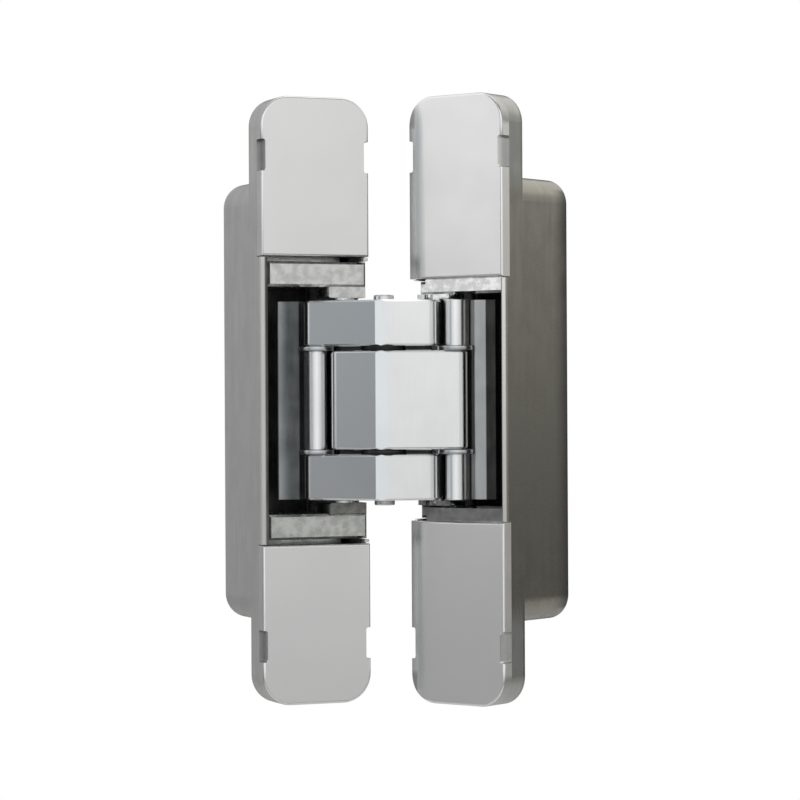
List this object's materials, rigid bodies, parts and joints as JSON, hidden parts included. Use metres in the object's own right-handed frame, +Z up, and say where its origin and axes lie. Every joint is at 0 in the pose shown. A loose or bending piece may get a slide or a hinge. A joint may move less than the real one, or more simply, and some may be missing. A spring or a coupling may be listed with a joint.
{
  "type": "concealed door hinge",
  "caption": "Concealed door hinge: two slim housings let into door and frame, joined by crossed link arms and levers that fold away into their pockets.",
  "frame": {"origin": "centre of the frame half's two screw holes, on the seat of its flange", "axes": "+Z up along the pins, +Y into the frame's wood, +X across the frame half towards its knuckle edge"},
  "size_m": [0.0606, 0.0465, 0.12],
  "materials": {
    "housing": "satin die-cast zinc",
    "cover": "satin",
    "block": "rough cast",
    "arm": "satin plated",
    "lever": "plated",
    "pin": "polished",
    "washer": "plain",
    "screw": "zinc plated"
  },
  "bodies": {
    "frame_half": {"frame_housing": "housing", "frame_upper_cover": "cover", "frame_lower_cover": "cover", "frame_upper_block": "block", "frame_lower_block": "block", "frame_upper_block_screw": "screw", "frame_lower_block_screw": "screw", "frame_pivot_pin": "pin", "frame_lever_pin": "pin"},
    "centre_arm": {"centre_arm": "arm", "door_link_pin": "pin", "door_upper_link_washer": "washer", "door_lower_link_washer": "washer"},
    "outer_arms": {"upper_outer_arm": "arm", "lower_outer_arm": "arm", "centre_pin": "pin", "upper_centre_washer": "washer", "lower_centre_washer": "washer", "frame_link_pin": "pin", "frame_upper_link_washer": "washer", "frame_lower_link_washer": "washer"},
    "frame_lever": {"frame_lever": "lever"},
    "door_lever": {"door_lever": "lever"},
    "door_half": {"door_housing": "housing", "door_upper_cover": "cover", "door_lower_cover": "cover", "door_upper_block": "block", "door_lower_block": "block", "door_upper_block_screw": "screw", "door_lower_block_screw": "screw", "door_pivot_pin": "pin", "door_lever_pin": "pin"}
  },
  "joints": [
    {"name": "frame_pivot", "type": "hinge", "parent": "frame_half", "child": "centre_arm", "pos_m": [0.0076, -0.0024, 0], "axis": [0, 0, 1], "range_deg": [-75, 37.5]},
    {"name": "centre_pivot", "type": "hinge", "parent": "centre_arm", "child": "outer_arms", "pos_m": [0.01075, -0.01604, 0], "axis": [0, 0, 1], "range_deg": [-15, 30]},
    {"name": "door_pivot", "type": "hinge", "parent": "outer_arms", "child": "door_half", "pos_m": [0.02414, -0.01195, 0], "axis": [0, 0, 1], "range_deg": [-75, 37.5]},
    {"name": "frame_lever_link", "type": "hinge", "parent": "outer_arms", "child": "frame_lever", "pos_m": [0.00002, -0.00704, 0], "axis": [0, 0, 1], "range_deg": [-33, 16.5]},
    {"name": "door_lever_link", "type": "hinge", "parent": "centre_arm", "child": "door_lever", "pos_m": [0.0239, -0.02083, 0], "axis": [0, 0, 1], "range_deg": [-16.5, 33]}
  ],
  "couplings": [
    {"joint": "centre_pivot", "follows": "frame_pivot", "ratio": -0.4},
    {"joint": "door_pivot", "follows": "frame_pivot", "ratio": 1},
    {"joint": "frame_lever_link", "follows": "frame_pivot", "ratio": 0.44},
    {"joint": "door_lever_link", "follows": "frame_pivot", "ratio": -0.44}
  ]
}
